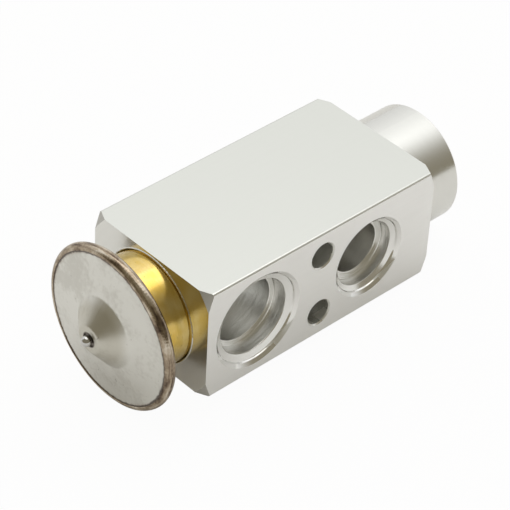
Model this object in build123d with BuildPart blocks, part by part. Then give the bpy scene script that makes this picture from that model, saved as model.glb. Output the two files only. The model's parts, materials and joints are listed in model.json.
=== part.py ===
from build123d import *
from math import sqrt
import os

# Block-type thermostatic expansion valve with its power head.
#
# Frame: the origin is the point midway between the two fixing holes, on the front port face.
# +X runs along the valve axis from the power head to the spigot, +Y runs into the block and
# +Z is up. Turned pieces are drawn as (station, radius): the station is the distance along the
# valve axis from the block's head-end face, negative outside the block, and the radius is
# measured from the valve axis. All sizes are in millimetres.

os.makedirs("parts", exist_ok=True)

# Block
BODY_LENGTH = 70.5
BODY_WIDTH = 38.4                 # front port face to rear port face
BODY_HEIGHT = 30.0
BAR_EDGE_RADIUS = 0.65            # rounded long edges of the extruded bar
END_FACE_RADIUS = 21.8            # where the turned corner chamfer starts on each end face
END_CHAMFER_ANGLE = 32.0          # degrees from the end face
SPIGOT_RADIUS = 14.8
SPIGOT_LENGTH = 14.3
SPIGOT_CHAMFER = 0.5

# Fixing holes, right through from port face to port face
BOLT_STATION = 34.8
BOLT_SPACING = 16.8
BOLT_HOLE_RADIUS = 3.3
BOLT_HOLE_CHAMFER = 0.3

# Ports: a chamfered lip, a short step, a shallow conical seal seat, a pilot bore for the tube and
# the passage behind it
LIP_DEPTH = 0.65
STEP_DEPTH = 1.05                 # depth below the face of each seat's outer edge
STEP_SLOPE = 0.2                  # how much wider the step is at the lip
SEAT_DEPTH = 1.7                  # depth below the face where each pilot bore starts
PORT_EDGE_RADIUS = 0.2            # left by the form tool where two faces of a port meet
SUCTION_STATION = 15.4
SUCTION_LIP_RADIUS = 12.6
SUCTION_SEAT_RADIUS = 11.55
SUCTION_PILOT_RADIUS = 9.9
SUCTION_PILOT_DEPTH = 5.5
SUCTION_PASSAGE_RADIUS = 8.5
INLET_STATION = 50.2
INLET_LIP_RADIUS = 10.6
INLET_SEAT_RADIUS = 9.65
INLET_PILOT_RADIUS = 8.5
INLET_PILOT_DEPTH = 4.6
INLET_PASSAGE_RADIUS = 6.6
INLET_PASSAGE_TO_AXIS = 4.3       # from the passage's bottom to the valve axis
OUTLET_STATION = 46.2
OUTLET_LIP_RADIUS = 9.4
OUTLET_SEAT_RADIUS = 8.55
OUTLET_PILOT_RADIUS = 7.2
OUTLET_PILOT_DEPTH = 4.4
OUTLET_PASSAGE_RADIUS = 5.8
OUTLET_PASSAGE_TO_AXIS = 8.8
OUTLET_DRILL_OFFSET = 2.4         # the small drilling lies this much nearer the head than its port
OUTLET_DRILL_RADIUS = 3.0
OUTLET_DRILL_PAST_AXIS = 1.8

# Fits
RUNNING_CLEARANCE = 0.05          # radial, round sliding pieces
THREAD_CLEARANCE = 0.05           # radial, thread envelopes
SEAL_CLEARANCE = 0.03             # between a seal ring and the faces that it meets
CONTACT_GAP = 0.02                # between round faces that bear on each other
STOP_CLEARANCE = 0.05             # left at the end of the stroke
STROKE = 0.8                      # opening travel of the valve

# Power head
RIM_STATION = -11.0               # middle of the welded rim
RIM_BEAD_RADIUS = 1.5
COVER_THICKNESS = 1.2
COVER_FLANGE_RADIUS = 19.15       # outer edge of both covers, inside the bead
COVER_CLAMP_RADIUS = 16.4         # inner edge of the ring where the covers clamp the diaphragm
DIAPHRAGM_THICKNESS = 0.2
DIAPHRAGM_WAVE = 0.3              # height of its corrugations
DIAPHRAGM_WAVES = 2
DOME_HEIGHT = 1.2                 # rise of the outer cover from rim to cone
CONE_BASE_RADIUS = 8.9
CONE_TOP_RADIUS = 3.4
CONE_HEIGHT = 4.3
DOME_BEND_RADIUS = 12.0
CONE_BEND_RADIUS = 1.3
CHARGE_HOLE_RADIUS = 0.9
CHARGE_RECESS_RADIUS = 1.75
CHARGE_RECESS_DEPTH = 0.3
CHARGE_BALL_RADIUS = 1.3
BASE_BEND_RADIUS = 1.3
BASE_INNER_RADIUS = 10.1

# Threaded collar between head and block
COLLAR_PROUD = 8.35               # from the block's end face to the collar's top face
COLLAR_FLANGE_WIDTH = 0.5         # how far the flange stands out from the plain collar
COLLAR_FLANGE_THICKNESS = 1.2
COLLAR_TOP_THICKNESS = 2.4
COLLAR_INSERT = 0.8               # how far the plain collar enters the counterbore
COLLAR_WALL = 1.9                 # between the thread and the collar's bore
COLLAR_CLEARANCE = 0.15           # radial, between the plain collar and the counterbore
COLLAR_EDGE = 0.3
HEAD_THREAD_RADIUS = 11.5
HEAD_THREAD_DEPTH = 5.6
HEAD_THREAD_END_GAP = 0.3
HEAD_SEAL_SPACE = 2.45            # from the thread out to the counterbore's wall
HEAD_COUNTERBORE_DEPTH = 3.1
HEAD_COUNTERBORE_LIP = 0.35
HEAD_RIM_RADIUS = 0.2             # raised rim round the counterbore's mouth

# Diaphragm pad and temperature sensing shaft
PAD_RADIUS = 9.5
PAD_HUB_RADIUS = 5.0
PAD_HUB_LENGTH = 5.8
PAD_SOCKET_DEPTH = 4.0
SHAFT_RADIUS = 3.0
SHAFT_FLOOR_HOLE_RADIUS = 3.6     # lets suction pressure reach the diaphragm
SHAFT_GUIDE_LENGTH = 3.0

# Rod, its seal and its retainer
ROD_RADIUS = 1.1
RETAINER_GAP = 0.5                # between the shaft at full stroke and the retainer
RETAINER_THICKNESS = 0.3
RETAINER_HOLE_RADIUS = 1.4
RETAINER_NOTCHES = 6
RETAINER_NOTCH_WIDTH = 0.5
RETAINER_NOTCH_DEPTH = 0.7

# Ball valve
CHAMBER_STATION = 47.1            # floor of the ball chamber
CHAMBER_RADIUS = 6.2
INSERT_RADIUS = 3.4
INSERT_DEPTH = 1.2                # how far the orifice insert is pressed in below the floor
INSERT_PROUD = 0.5
ORIFICE_RADIUS = 1.9
SEAT_CONE_DEPTH = 0.7
SEAT_GAP = 0.1                    # between ball and seat in the modelled position
BALL_RADIUS = 2.9
CARRIER_RADIUS = 4.4
CARRIER_RIM_OFFSET = 0.6          # from ball centre to the carrier's rim
CARRIER_SOCKET_FLOOR_RADIUS = 0.8
CARRIER_CUP_LENGTH = 4.4
CARRIER_FLANGE_RADIUS = 5.5
CARRIER_FLANGE_THICKNESS = 1.4
CARRIER_TAIL_RADIUS = 3.8
CARRIER_TAIL_LENGTH = 2.6
DAMPER_THICKNESS = 0.3
DAMPER_LEGS = 6
DAMPER_LEG_WIDTH = 1.6
DAMPER_LEG_LENGTH = 3.0
DAMPER_WALL_GAP = 0.15            # between the legs and the chamber wall
SPRING_WIRE_RADIUS = 0.6
SPRING_MEAN_RADIUS = 4.55
SPRING_TURNS = 5
SPRING_LENGTH = 11.36             # from the carrier's flange to the adjusting screw's pocket

# Adjusting screw in the spigot
SCREW_THREAD_RADIUS = 9.0
SCREW_THREAD_LENGTH = 9.0
SCREW_LENGTH = 16.0
SCREW_NOSE_ROOM = 2.5             # from the chamber's end to the screw's nose
SCREW_THREAD_RUNOUT = 1.5         # tapped length in front of the screw, for adjustment
SCREW_POCKET_RADIUS = 5.7
SCREW_POCKET_DEPTH = 4.0
SCREW_GROOVE_OFFSET = 1.3         # from the screw's nose to its seal groove
SCREW_GROOVE_WIDTH = 1.9
SCREW_GROOVE_ROOT_RADIUS = 6.4
SCREW_SOCKET_FLATS = 8.0
SCREW_SOCKET_DEPTH = 6.0
SCREW_CHAMFER = 0.5
SEAL_BORE_RADIUS = 8.0
THREAD_ENTRY_CHAMFER = 0.8

# The valve axis, and the planes that the pieces are drawn on
HEAD_FACE_X = -BOLT_STATION
AXIS_Y = BODY_WIDTH / 2
valve_axis = Axis((HEAD_FACE_X, AXIS_Y, 0), (1, 0, 0))
axial = Plane(origin=(HEAD_FACE_X, AXIS_Y, 0), x_dir=(1, 0, 0), z_dir=(0, -1, 0))


def across(station):
    """Plane square to the valve axis at a station, facing the spigot."""
    return Plane(origin=(HEAD_FACE_X + station, AXIS_Y, 0), x_dir=(0, 1, 0), z_dir=(1, 0, 0))


def front_face(station):
    """Plane on the front port face, facing out of the block."""
    return Plane(origin=(HEAD_FACE_X + station, 0, 0), x_dir=(1, 0, 0), z_dir=(0, -1, 0))


def rear_face(station):
    """Plane on the rear port face, facing out of the block."""
    return Plane(origin=(HEAD_FACE_X + station, BODY_WIDTH, 0), x_dir=(1, 0, 0), z_dir=(0, 1, 0))


def turn(*outline, mode=Mode.ADD):
    """Turn an outline of (station, radius) points about the valve axis, in the open part."""
    with BuildSketch(axial) as profile:
        with BuildLine():
            Polyline(*outline, close=True)
        make_face()
    revolve(profile.sketch, axis=valve_axis, mode=mode)


def press_sheet(*outline, bends):
    """Turn a sheet of the cover thickness, whose outer side is a bent line of (station, radius)."""
    with BuildSketch(axial) as profile:
        with BuildLine():
            FilletPolyline(*outline, radius=bends)
            offset(amount=COVER_THICKNESS, side=Side.LEFT)
        make_face()
    revolve(profile.sketch, axis=valve_axis)


def turn_ring(station, centre_radius, section_radius):
    """Turn a ring of round section about the valve axis, in the open part."""
    with BuildSketch(axial) as profile:
        with Locations((station, centre_radius)):
            Circle(section_radius)
    revolve(profile.sketch, axis=valve_axis)


def sink_port(mouth, lip, seat, pilot, pilot_depth, passage, passage_depth):
    """Cut one port from its mouth plane: lip, step, seal seat, pilot bore, then the passage."""
    section = Plane(origin=mouth.origin, x_dir=mouth.x_dir, z_dir=mouth.x_dir.cross(mouth.z_dir))
    with BuildSketch(section) as profile:
        with BuildLine():
            Polyline((0, 0), (lip, 0), (seat + STEP_SLOPE, -LIP_DEPTH), (seat, -STEP_DEPTH),
                     (pilot, -SEAT_DEPTH), (pilot, -pilot_depth), (passage, -pilot_depth),
                     (passage, -passage_depth), (0, -passage_depth), close=True)
        make_face()
        below_mouth = (-pilot_depth - PORT_EDGE_RADIUS, -PORT_EDGE_RADIUS)
        fillet(profile.vertices().filter_by_position(Axis.Y, *below_mouth), radius=PORT_EDGE_RADIUS)
    revolve(profile.sketch, axis=Axis(mouth.origin, mouth.z_dir), mode=Mode.SUBTRACT)


# Radii and stations that follow from the sizes above
HEAD_COUNTERBORE_RADIUS = HEAD_THREAD_RADIUS + HEAD_SEAL_SPACE
COLLAR_RADIUS = HEAD_COUNTERBORE_RADIUS - COLLAR_CLEARANCE
COLLAR_FLANGE_RADIUS = COLLAR_RADIUS + COLLAR_FLANGE_WIDTH
COLLAR_BORE_RADIUS = HEAD_THREAD_RADIUS - COLLAR_WALL
DIAPHRAGM_OUTER = RIM_STATION - DIAPHRAGM_THICKNESS / 2
DIAPHRAGM_INNER = RIM_STATION + DIAPHRAGM_THICKNESS / 2
COVER_FACE = DIAPHRAGM_OUTER - COVER_THICKNESS
DOME_TOP = COVER_FACE - DOME_HEIGHT
CONE_TOP = DOME_TOP - CONE_HEIGHT
BASE_SEAT = -COLLAR_PROUD - COVER_THICKNESS
PAD_UNDERSIDE = -COLLAR_PROUD - STROKE - STOP_CLEARANCE
HUB_END = PAD_UNDERSIDE + PAD_HUB_LENGTH
SHAFT_START = HUB_END - PAD_SOCKET_DEPTH
SHAFT_END = SUCTION_STATION + SUCTION_PASSAGE_RADIUS + SHAFT_GUIDE_LENGTH
SHAFT_BORE_RADIUS = SHAFT_RADIUS + RUNNING_CLEARANCE
RETAINER_STATION = SHAFT_END + STROKE + RETAINER_GAP
ROD_SEAL_SECTION = (SHAFT_BORE_RADIUS - ROD_RADIUS) / 2 - SEAL_CLEARANCE
ROD_SEAL_CENTRE_RADIUS = (SHAFT_BORE_RADIUS + ROD_RADIUS) / 2
ROD_SEAL_STATION = RETAINER_STATION + RETAINER_THICKNESS + SEAL_CLEARANCE + ROD_SEAL_SECTION
SHAFT_BORE_END = ROD_SEAL_STATION + ROD_SEAL_SECTION + SEAL_CLEARANCE
DRILL_STATION = OUTLET_STATION - OUTLET_DRILL_OFFSET
INSERT_START = CHAMBER_STATION - INSERT_DEPTH
INSERT_END = CHAMBER_STATION + INSERT_PROUD
SEAT_THROAT = INSERT_END - SEAT_CONE_DEPTH
BALL_STATION = SEAT_THROAT - ORIFICE_RADIUS + sqrt(2) * (BALL_RADIUS + SEAT_GAP)
ROD_END = BALL_STATION - BALL_RADIUS - CONTACT_GAP
CARRIER_RIM = BALL_STATION + CARRIER_RIM_OFFSET
CARRIER_RIM_RADIUS = sqrt(2) * (BALL_RADIUS + CONTACT_GAP) - CARRIER_RIM_OFFSET
SOCKET_FLOOR = CARRIER_RIM + CARRIER_RIM_RADIUS - CARRIER_SOCKET_FLOOR_RADIUS
CARRIER_FLANGE = CARRIER_RIM + CARRIER_CUP_LENGTH
SPRING_SEAT = CARRIER_FLANGE + CARRIER_FLANGE_THICKNESS
SPIGOT_END = BODY_LENGTH + SPIGOT_LENGTH
SCREW_POCKET_FLOOR = SPRING_SEAT + SPRING_LENGTH
SCREW_NOSE = SCREW_POCKET_FLOOR - SCREW_POCKET_DEPTH
SCREW_FACE = SCREW_NOSE + SCREW_LENGTH
SCREW_THREAD_START = SCREW_FACE - SCREW_THREAD_LENGTH
CHAMBER_END = SCREW_NOSE - SCREW_NOSE_ROOM
SCREW_NOSE_RADIUS = SEAL_BORE_RADIUS - RUNNING_CLEARANCE
GROOVE_START = SCREW_NOSE + SCREW_GROOVE_OFFSET
GROOVE_END = GROOVE_START + SCREW_GROOVE_WIDTH

# Block: a piece of extruded bar with both ends faced in the lathe, which leaves a conical
# chamfer on the four corners and turns the spigot. Everything else is drilled and bored.
with BuildPart() as valve_body:
    with BuildSketch(across(0)):
        RectangleRounded(BODY_WIDTH, BODY_HEIGHT, BAR_EDGE_RADIUS)
    extrude(amount=BODY_LENGTH)
    chamfer_slope = Vector(1, 0).rotate(Axis.Z, END_CHAMFER_ANGLE)
    chamfer_reach = BODY_WIDTH * chamfer_slope.Y / chamfer_slope.X
    chamfer_outside = END_FACE_RADIUS + BODY_WIDTH
    turn((0, END_FACE_RADIUS), (0, chamfer_outside), (chamfer_reach, chamfer_outside),
         mode=Mode.SUBTRACT)
    turn((BODY_LENGTH, END_FACE_RADIUS), (BODY_LENGTH, chamfer_outside),
         (BODY_LENGTH - chamfer_reach, chamfer_outside), mode=Mode.SUBTRACT)
    turn((BODY_LENGTH, 0), (BODY_LENGTH, SPIGOT_RADIUS), (SPIGOT_END - SPIGOT_CHAMFER, SPIGOT_RADIUS),
         (SPIGOT_END, SPIGOT_RADIUS - SPIGOT_CHAMFER), (SPIGOT_END, 0))
    turn_ring(0, HEAD_COUNTERBORE_RADIUS + HEAD_COUNTERBORE_LIP, HEAD_RIM_RADIUS)

    # Fixing holes
    for fixing_face in (front_face(BOLT_STATION), rear_face(BOLT_STATION)):
        with BuildSketch(fixing_face):
            with GridLocations(0, BOLT_SPACING, 1, 2):
                Circle(BOLT_HOLE_RADIUS + BOLT_HOLE_CHAMFER)
        extrude(amount=-BOLT_HOLE_CHAMFER, taper=45, mode=Mode.SUBTRACT)
    with BuildSketch(front_face(BOLT_STATION)):
        with GridLocations(0, BOLT_SPACING, 1, 2):
            Circle(BOLT_HOLE_RADIUS)
    extrude(amount=-BODY_WIDTH, mode=Mode.SUBTRACT)

    # Ports: suction line right through, liquid inlet in front, liquid outlet at the rear
    for suction_mouth in (front_face(SUCTION_STATION), rear_face(SUCTION_STATION)):
        sink_port(suction_mouth, SUCTION_LIP_RADIUS, SUCTION_SEAT_RADIUS, SUCTION_PILOT_RADIUS,
                  SUCTION_PILOT_DEPTH, SUCTION_PASSAGE_RADIUS, BODY_WIDTH / 2)
    sink_port(front_face(INLET_STATION), INLET_LIP_RADIUS, INLET_SEAT_RADIUS, INLET_PILOT_RADIUS,
              INLET_PILOT_DEPTH, INLET_PASSAGE_RADIUS, AXIS_Y - INLET_PASSAGE_TO_AXIS)
    sink_port(rear_face(OUTLET_STATION), OUTLET_LIP_RADIUS, OUTLET_SEAT_RADIUS, OUTLET_PILOT_RADIUS,
              OUTLET_PILOT_DEPTH, OUTLET_PASSAGE_RADIUS, AXIS_Y - OUTLET_PASSAGE_TO_AXIS)
    with BuildSketch(rear_face(DRILL_STATION)):
        Circle(OUTLET_DRILL_RADIUS)
    extrude(amount=-(BODY_WIDTH / 2 + OUTLET_DRILL_PAST_AXIS), mode=Mode.SUBTRACT)

    # Bores along the valve axis: head pocket, shaft and rod bores, insert, chamber, spigot bore
    turn((0, 0), (0, HEAD_COUNTERBORE_RADIUS + HEAD_COUNTERBORE_LIP),
         (HEAD_COUNTERBORE_LIP, HEAD_COUNTERBORE_RADIUS),
         (HEAD_COUNTERBORE_DEPTH, HEAD_COUNTERBORE_RADIUS), (HEAD_COUNTERBORE_DEPTH, HEAD_THREAD_RADIUS),
         (HEAD_THREAD_DEPTH, HEAD_THREAD_RADIUS), (HEAD_THREAD_DEPTH, SHAFT_FLOOR_HOLE_RADIUS),
         (SUCTION_STATION, SHAFT_FLOOR_HOLE_RADIUS), (SUCTION_STATION, SHAFT_BORE_RADIUS),
         (SHAFT_BORE_END, SHAFT_BORE_RADIUS), (SHAFT_BORE_END, ROD_RADIUS + RUNNING_CLEARANCE),
         (DRILL_STATION, ROD_RADIUS + RUNNING_CLEARANCE), (DRILL_STATION, ORIFICE_RADIUS),
         (INSERT_START, ORIFICE_RADIUS), (INSERT_START, INSERT_RADIUS), (CHAMBER_STATION, INSERT_RADIUS),
         (CHAMBER_STATION, CHAMBER_RADIUS), (CHAMBER_END, CHAMBER_RADIUS), (CHAMBER_END, SEAL_BORE_RADIUS),
         (SCREW_THREAD_START - SCREW_THREAD_RUNOUT, SEAL_BORE_RADIUS),
         (SCREW_THREAD_START - SCREW_THREAD_RUNOUT, SCREW_THREAD_RADIUS),
         (SPIGOT_END - THREAD_ENTRY_CHAMFER, SCREW_THREAD_RADIUS),
         (SPIGOT_END, SCREW_THREAD_RADIUS + THREAD_ENTRY_CHAMFER), (SPIGOT_END, 0), mode=Mode.SUBTRACT)
valve_body.part.label = "valve_body"
export_step(valve_body.part, "parts/valve_body.step")

# Collar: turned steel, carries the head and screws into the block
with BuildPart() as head_collar:
    turn((-COLLAR_PROUD, PAD_HUB_RADIUS + RUNNING_CLEARANCE), (-COLLAR_PROUD, COLLAR_FLANGE_RADIUS),
         (-COLLAR_PROUD + COLLAR_FLANGE_THICKNESS, COLLAR_FLANGE_RADIUS),
         (-COLLAR_PROUD + COLLAR_FLANGE_THICKNESS, COLLAR_RADIUS),
         (COLLAR_INSERT - COLLAR_EDGE, COLLAR_RADIUS), (COLLAR_INSERT, COLLAR_RADIUS - COLLAR_EDGE),
         (COLLAR_INSERT, HEAD_THREAD_RADIUS - THREAD_CLEARANCE),
         (HEAD_THREAD_DEPTH - HEAD_THREAD_END_GAP, HEAD_THREAD_RADIUS - THREAD_CLEARANCE),
         (HEAD_THREAD_DEPTH - HEAD_THREAD_END_GAP, COLLAR_BORE_RADIUS),
         (COLLAR_TOP_THICKNESS - COLLAR_PROUD, COLLAR_BORE_RADIUS),
         (COLLAR_TOP_THICKNESS - COLLAR_PROUD, PAD_HUB_RADIUS + RUNNING_CLEARANCE))
head_collar.part.label = "head_collar"
export_step(head_collar.part, "parts/head_collar.step")

# Ring seal in the counterbore, squeezed under the collar's shoulder
with BuildPart() as head_seal:
    turn_ring((COLLAR_INSERT + HEAD_COUNTERBORE_DEPTH) / 2, HEAD_THREAD_RADIUS + HEAD_SEAL_SPACE / 2,
              (HEAD_COUNTERBORE_DEPTH - COLLAR_INSERT) / 2 - SEAL_CLEARANCE)
head_seal.part.label = "head_seal"
export_step(head_seal.part, "parts/head_seal.step")

# Lower cover: pressed sheet that sits on the collar and holds the diaphragm from below
with BuildPart() as head_base:
    press_sheet((DIAPHRAGM_INNER, COVER_FLANGE_RADIUS), (DIAPHRAGM_INNER, COVER_CLAMP_RADIUS),
                (BASE_SEAT, COLLAR_FLANGE_RADIUS), (BASE_SEAT, BASE_INNER_RADIUS), bends=BASE_BEND_RADIUS)
head_base.part.label = "head_base"
export_step(head_base.part, "parts/head_base.step")

# Outer cover: pressed sheet with a shallow dome, a central cone and the filling hole
with BuildPart() as head_cover:
    press_sheet((COVER_FACE, COVER_FLANGE_RADIUS), (COVER_FACE, COVER_CLAMP_RADIUS),
                (DOME_TOP, CONE_BASE_RADIUS), (CONE_TOP, CONE_TOP_RADIUS), (CONE_TOP, CHARGE_HOLE_RADIUS),
                bends=[DOME_BEND_RADIUS, CONE_BEND_RADIUS, CONE_BEND_RADIUS])
    turn((CONE_TOP, 0), (CONE_TOP, CHARGE_RECESS_RADIUS),
         (CONE_TOP + CHARGE_RECESS_DEPTH, CHARGE_RECESS_RADIUS), (CONE_TOP + CHARGE_RECESS_DEPTH, 0),
         mode=Mode.SUBTRACT)
head_cover.part.label = "head_cover"
export_step(head_cover.part, "parts/head_cover.step")

# Steel ball welded over the filling hole once the head is charged
with BuildPart() as charge_ball:
    ball_rise = sqrt(CHARGE_BALL_RADIUS**2 - CHARGE_HOLE_RADIUS**2)
    with Locations((HEAD_FACE_X + CONE_TOP + CHARGE_RECESS_DEPTH - ball_rise - CONTACT_GAP, AXIS_Y, 0)):
        Sphere(CHARGE_BALL_RADIUS)
charge_ball.part.label = "charge_ball"
export_step(charge_ball.part, "parts/charge_ball.step")

# Diaphragm: thin sheet with concentric waves, clamped between the covers
with BuildPart() as diaphragm:
    wave_width = (COVER_CLAMP_RADIUS - PAD_RADIUS) / (2 * DIAPHRAGM_WAVES + 2)
    wave_crests = [(DIAPHRAGM_OUTER - DIAPHRAGM_WAVE * (step % 2), PAD_RADIUS + wave_width * (step + 1))
                   for step in range(2 * DIAPHRAGM_WAVES + 1)]
    with BuildSketch(axial):
        with BuildLine():
            Polyline((DIAPHRAGM_OUTER, 0), *wave_crests, (DIAPHRAGM_OUTER, COVER_FLANGE_RADIUS))
            offset(amount=DIAPHRAGM_THICKNESS, side=Side.RIGHT)
        make_face()
    revolve(axis=valve_axis)
diaphragm.part.label = "diaphragm"
export_step(diaphragm.part, "parts/diaphragm.step")

# Weld bead that joins both covers and the diaphragm all round the rim
with BuildPart() as rim_weld:
    with BuildSketch(axial):
        with Locations((RIM_STATION, COVER_FLANGE_RADIUS)):
            Circle(RIM_BEAD_RADIUS)
            Rectangle(2 * RIM_BEAD_RADIUS, RIM_BEAD_RADIUS, align=(Align.CENTER, Align.MAX),
                      mode=Mode.SUBTRACT)
    revolve(axis=valve_axis)
rim_weld.part.label = "rim_weld"
export_step(rim_weld.part, "parts/rim_weld.step")

# Pad: rides under the diaphragm, is guided by its hub and stops on the collar
with BuildPart() as diaphragm_pad:
    turn((DIAPHRAGM_INNER, 0), (DIAPHRAGM_INNER, PAD_RADIUS), (PAD_UNDERSIDE, PAD_RADIUS),
         (PAD_UNDERSIDE, PAD_HUB_RADIUS), (HUB_END, PAD_HUB_RADIUS), (HUB_END, SHAFT_RADIUS),
         (SHAFT_START, SHAFT_RADIUS), (SHAFT_START, 0))
diaphragm_pad.part.label = "diaphragm_pad"
export_step(diaphragm_pad.part, "parts/diaphragm_pad.step")

# Sensing shaft: crosses the suction passage and takes its temperature
with BuildPart() as sensing_shaft:
    turn((SHAFT_START, 0), (SHAFT_START, SHAFT_RADIUS), (SHAFT_END, SHAFT_RADIUS), (SHAFT_END, 0))
sensing_shaft.part.label = "sensing_shaft"
export_step(sensing_shaft.part, "parts/sensing_shaft.step")

# Rod: passes the shaft's movement through the orifice to the ball
with BuildPart() as operating_rod:
    turn((SHAFT_END, 0), (SHAFT_END, ROD_RADIUS), (ROD_END, ROD_RADIUS), (ROD_END, 0))
operating_rod.part.label = "operating_rod"
export_step(operating_rod.part, "parts/operating_rod.step")

# Ring seal round the rod, at the bottom of the shaft bore
with BuildPart() as rod_seal:
    turn_ring(ROD_SEAL_STATION, ROD_SEAL_CENTRE_RADIUS, ROD_SEAL_SECTION)
rod_seal.part.label = "rod_seal"
export_step(rod_seal.part, "parts/rod_seal.step")

# Star washer that holds the rod seal down and grips the bore
with BuildPart() as seal_retainer:
    turn((RETAINER_STATION, RETAINER_HOLE_RADIUS), (RETAINER_STATION, SHAFT_BORE_RADIUS),
         (RETAINER_STATION + RETAINER_THICKNESS, SHAFT_BORE_RADIUS),
         (RETAINER_STATION + RETAINER_THICKNESS, RETAINER_HOLE_RADIUS))
    with BuildSketch(across(RETAINER_STATION)):
        with PolarLocations(SHAFT_BORE_RADIUS, RETAINER_NOTCHES):
            Rectangle(2 * RETAINER_NOTCH_DEPTH, RETAINER_NOTCH_WIDTH)
    extrude(amount=RETAINER_THICKNESS, mode=Mode.SUBTRACT)
seal_retainer.part.label = "seal_retainer"
export_step(seal_retainer.part, "parts/seal_retainer.step")

# Orifice insert: steel ring pressed into the chamber floor, with the seat cone on its free end
with BuildPart() as orifice_insert:
    turn((INSERT_START, ORIFICE_RADIUS), (INSERT_START, INSERT_RADIUS), (INSERT_END, INSERT_RADIUS),
         (INSERT_END, ORIFICE_RADIUS + SEAT_CONE_DEPTH), (SEAT_THROAT, ORIFICE_RADIUS))
orifice_insert.part.label = "orifice_insert"
export_step(orifice_insert.part, "parts/orifice_insert.step")

# Valve ball: closes on the cone of the orifice insert
with BuildPart() as valve_ball:
    with Locations((HEAD_FACE_X + BALL_STATION, AXIS_Y, 0)):
        Sphere(BALL_RADIUS)
valve_ball.part.label = "valve_ball"
export_step(valve_ball.part, "parts/valve_ball.step")

# Carrier: holds the ball in a conical socket and takes the spring on its flange
with BuildPart() as ball_carrier:
    turn((CARRIER_RIM, CARRIER_RIM_RADIUS), (CARRIER_RIM, CARRIER_RADIUS),
         (CARRIER_FLANGE, CARRIER_RADIUS), (CARRIER_FLANGE, CARRIER_FLANGE_RADIUS),
         (SPRING_SEAT, CARRIER_FLANGE_RADIUS), (SPRING_SEAT, CARRIER_TAIL_RADIUS),
         (SPRING_SEAT + CARRIER_TAIL_LENGTH, CARRIER_TAIL_RADIUS), (SPRING_SEAT + CARRIER_TAIL_LENGTH, 0),
         (SOCKET_FLOOR, 0), (SOCKET_FLOOR, CARRIER_SOCKET_FLOOR_RADIUS))
ball_carrier.part.label = "ball_carrier"
export_step(ball_carrier.part, "parts/ball_carrier.step")

# Damper: spring ring on the carrier, whose legs rub the chamber wall and stop chatter
with BuildPart() as damper_spring:
    leg_outside = CHAMBER_RADIUS - DAMPER_WALL_GAP
    turn((CARRIER_FLANGE - DAMPER_THICKNESS, CARRIER_RADIUS + RUNNING_CLEARANCE),
         (CARRIER_FLANGE - DAMPER_THICKNESS, CARRIER_FLANGE_RADIUS), (CARRIER_FLANGE, CARRIER_FLANGE_RADIUS),
         (CARRIER_FLANGE, CARRIER_RADIUS + RUNNING_CLEARANCE))
    with BuildSketch(across(CARRIER_FLANGE)):
        with PolarLocations(0, DAMPER_LEGS):
            Rectangle(leg_outside, DAMPER_LEG_WIDTH, align=(Align.MIN, Align.CENTER))
        Circle(CARRIER_FLANGE_RADIUS - DAMPER_THICKNESS, mode=Mode.SUBTRACT)
    extrude(amount=-DAMPER_THICKNESS)
    with BuildSketch(across(CARRIER_FLANGE)):
        with PolarLocations(0, DAMPER_LEGS):
            Rectangle(leg_outside, DAMPER_LEG_WIDTH, align=(Align.MIN, Align.CENTER))
        Circle(leg_outside - DAMPER_THICKNESS, mode=Mode.SUBTRACT)
    extrude(amount=-DAMPER_LEG_LENGTH)
damper_spring.part.label = "damper_spring"
export_step(damper_spring.part, "parts/damper_spring.step")

# Valve spring: from the carrier's flange into the pocket of the adjusting screw
with BuildPart() as valve_spring:
    coil_height = SPRING_LENGTH - 2 * (SPRING_WIRE_RADIUS + CONTACT_GAP)
    coil_start = across(SPRING_SEAT + SPRING_WIRE_RADIUS + CONTACT_GAP)
    with BuildLine() as coil:
        Helix(pitch=coil_height / SPRING_TURNS, height=coil_height, radius=SPRING_MEAN_RADIUS,
              center=coil_start.origin, direction=coil_start.z_dir)
    with BuildSketch(Plane(origin=coil.line @ 0, z_dir=coil.line % 0)):
        Circle(SPRING_WIRE_RADIUS)
    sweep(is_frenet=True)
valve_spring.part.label = "valve_spring"
export_step(valve_spring.part, "parts/valve_spring.step")

# Adjusting screw: hollow nose for the spring, seal groove, thread and key socket
with BuildPart() as adjusting_screw:
    screw_thread = SCREW_THREAD_RADIUS - THREAD_CLEARANCE
    turn((SCREW_NOSE, SCREW_POCKET_RADIUS), (SCREW_NOSE, SCREW_NOSE_RADIUS),
         (GROOVE_START, SCREW_NOSE_RADIUS), (GROOVE_START, SCREW_GROOVE_ROOT_RADIUS),
         (GROOVE_END, SCREW_GROOVE_ROOT_RADIUS), (GROOVE_END, SCREW_NOSE_RADIUS),
         (SCREW_THREAD_START, SCREW_NOSE_RADIUS), (SCREW_THREAD_START, screw_thread),
         (SCREW_FACE - SCREW_CHAMFER, screw_thread), (SCREW_FACE, screw_thread - SCREW_CHAMFER),
         (SCREW_FACE, 0), (SCREW_POCKET_FLOOR, 0), (SCREW_POCKET_FLOOR, SCREW_POCKET_RADIUS))
    with BuildSketch(across(SCREW_FACE)):
        RegularPolygon(SCREW_SOCKET_FLATS / 2, 6, major_radius=False)
    extrude(amount=-SCREW_SOCKET_DEPTH, mode=Mode.SUBTRACT)
adjusting_screw.part.label = "adjusting_screw"
export_step(adjusting_screw.part, "parts/adjusting_screw.step")

# Ring seal in the adjusting screw's groove
with BuildPart() as adjuster_seal:
    turn_ring((GROOVE_START + GROOVE_END) / 2, (SCREW_GROOVE_ROOT_RADIUS + SEAL_BORE_RADIUS) / 2,
              (SEAL_BORE_RADIUS - SCREW_GROOVE_ROOT_RADIUS) / 2 - SEAL_CLEARANCE)
adjuster_seal.part.label = "adjuster_seal"
export_step(adjuster_seal.part, "parts/adjuster_seal.step")
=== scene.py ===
import json

import bpy
import numpy as np
from mathutils import Matrix, Vector


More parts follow.
